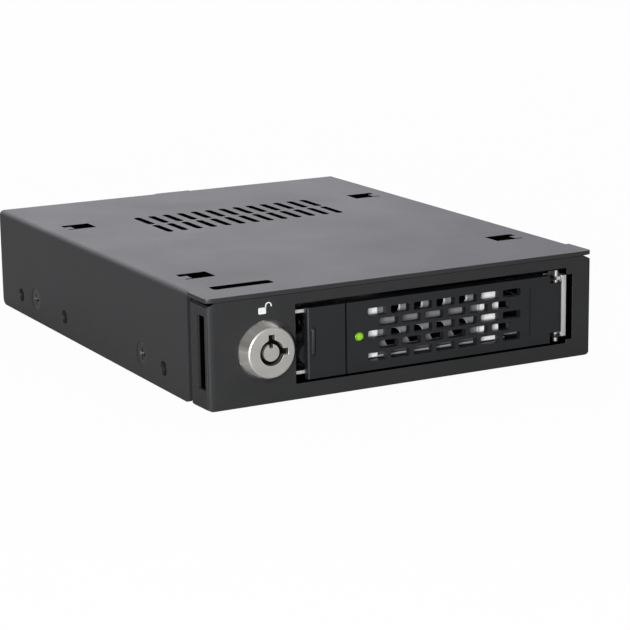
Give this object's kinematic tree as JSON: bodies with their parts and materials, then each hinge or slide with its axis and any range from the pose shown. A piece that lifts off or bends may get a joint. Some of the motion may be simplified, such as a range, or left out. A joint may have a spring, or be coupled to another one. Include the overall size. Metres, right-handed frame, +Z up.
{
  "type": "lockable_drive_rack",
  "caption": "Black steel mobile drive rack for a 3.5-inch bay, with a tubular key lock, a sliding latch and a vented swing door on a pull-out tray.",
  "frame": {"origin": "Centre of the housing's underside, halfway along its depth behind the bezel's front face.", "axes": "X to the right seen from the front, Y to the back, Z up."},
  "size_m": [0.1016, 0.1303, 0.0254],
  "materials": {
    "black_cover": "fine textured black powder coat",
    "dark_moulding": "fine spark-eroded grain, matt",
    "black_moulding": "satin black moulding",
    "black_screw": "black oxide",
    "nickel": "bright nickel plate",
    "pin_brass": "turned brass",
    "zinc_steel": "zinc plated",
    "bright_sheet": "bright rolled sheet",
    "clear_plastic": "clear moulding",
    "green_lens": "tinted clear lens",
    "board_green": "green solder mask"
  },
  "bodies": {
    "housing": {"top_cover": "black_cover", "base_chassis": "black_cover", "front_bezel": "dark_moulding", "cover_screws": "black_screw", "bezel_screws": "zinc_steel", "guide_screws": "zinc_steel", "board_screws": "zinc_steel", "tray_guide_left": "dark_moulding", "tray_guide_right": "dark_moulding", "lock_housing": "nickel", "lock_nut": "zinc_steel", "backplane_board": "board_green", "drive_socket": "black_moulding", "status_emitter": "green_lens", "data_port": "black_moulding", "power_port": "black_moulding"},
    "lock_core": {"lock_plug": "nickel", "lock_pins": "pin_brass", "lock_cam": "zinc_steel", "cam_screw": "zinc_steel"},
    "tray": {"tray_frame": "bright_sheet", "tray_front_plate": "bright_sheet", "plate_rivets": "zinc_steel", "light_pipe": "clear_plastic", "hinge_pin": "bright_sheet", "latch_spring": "black_screw"},
    "door": {"door_panel": "black_moulding", "led_lens": "green_lens"},
    "latch": {"latch_button": "black_moulding"}
  },
  "joints": [
    {"name": "lock_turn", "type": "hinge", "parent": "housing", "child": "lock_core", "pos_m": [-0.0361, -0.0635, 0.01215], "axis": [0, 1, 0], "range_deg": [0, 90]},
    {"name": "tray_slide", "type": "slide", "parent": "housing", "child": "tray", "axis": [0, -1, 0], "range_m": [0, 0.1]},
    {"name": "door_swing", "type": "hinge", "parent": "tray", "child": "door", "pos_m": [0.04195, -0.0615, 0.01], "axis": [0, 0, 1], "range_deg": [0, 90]},
    {"name": "latch_press", "type": "slide", "parent": "tray", "child": "latch", "axis": [-1, 0, 0], "range_m": [0, 0.0018], "stiffness_N_per_m": 300, "springref_m": -0.003, "deforming": ["latch_spring"]}
  ]
}
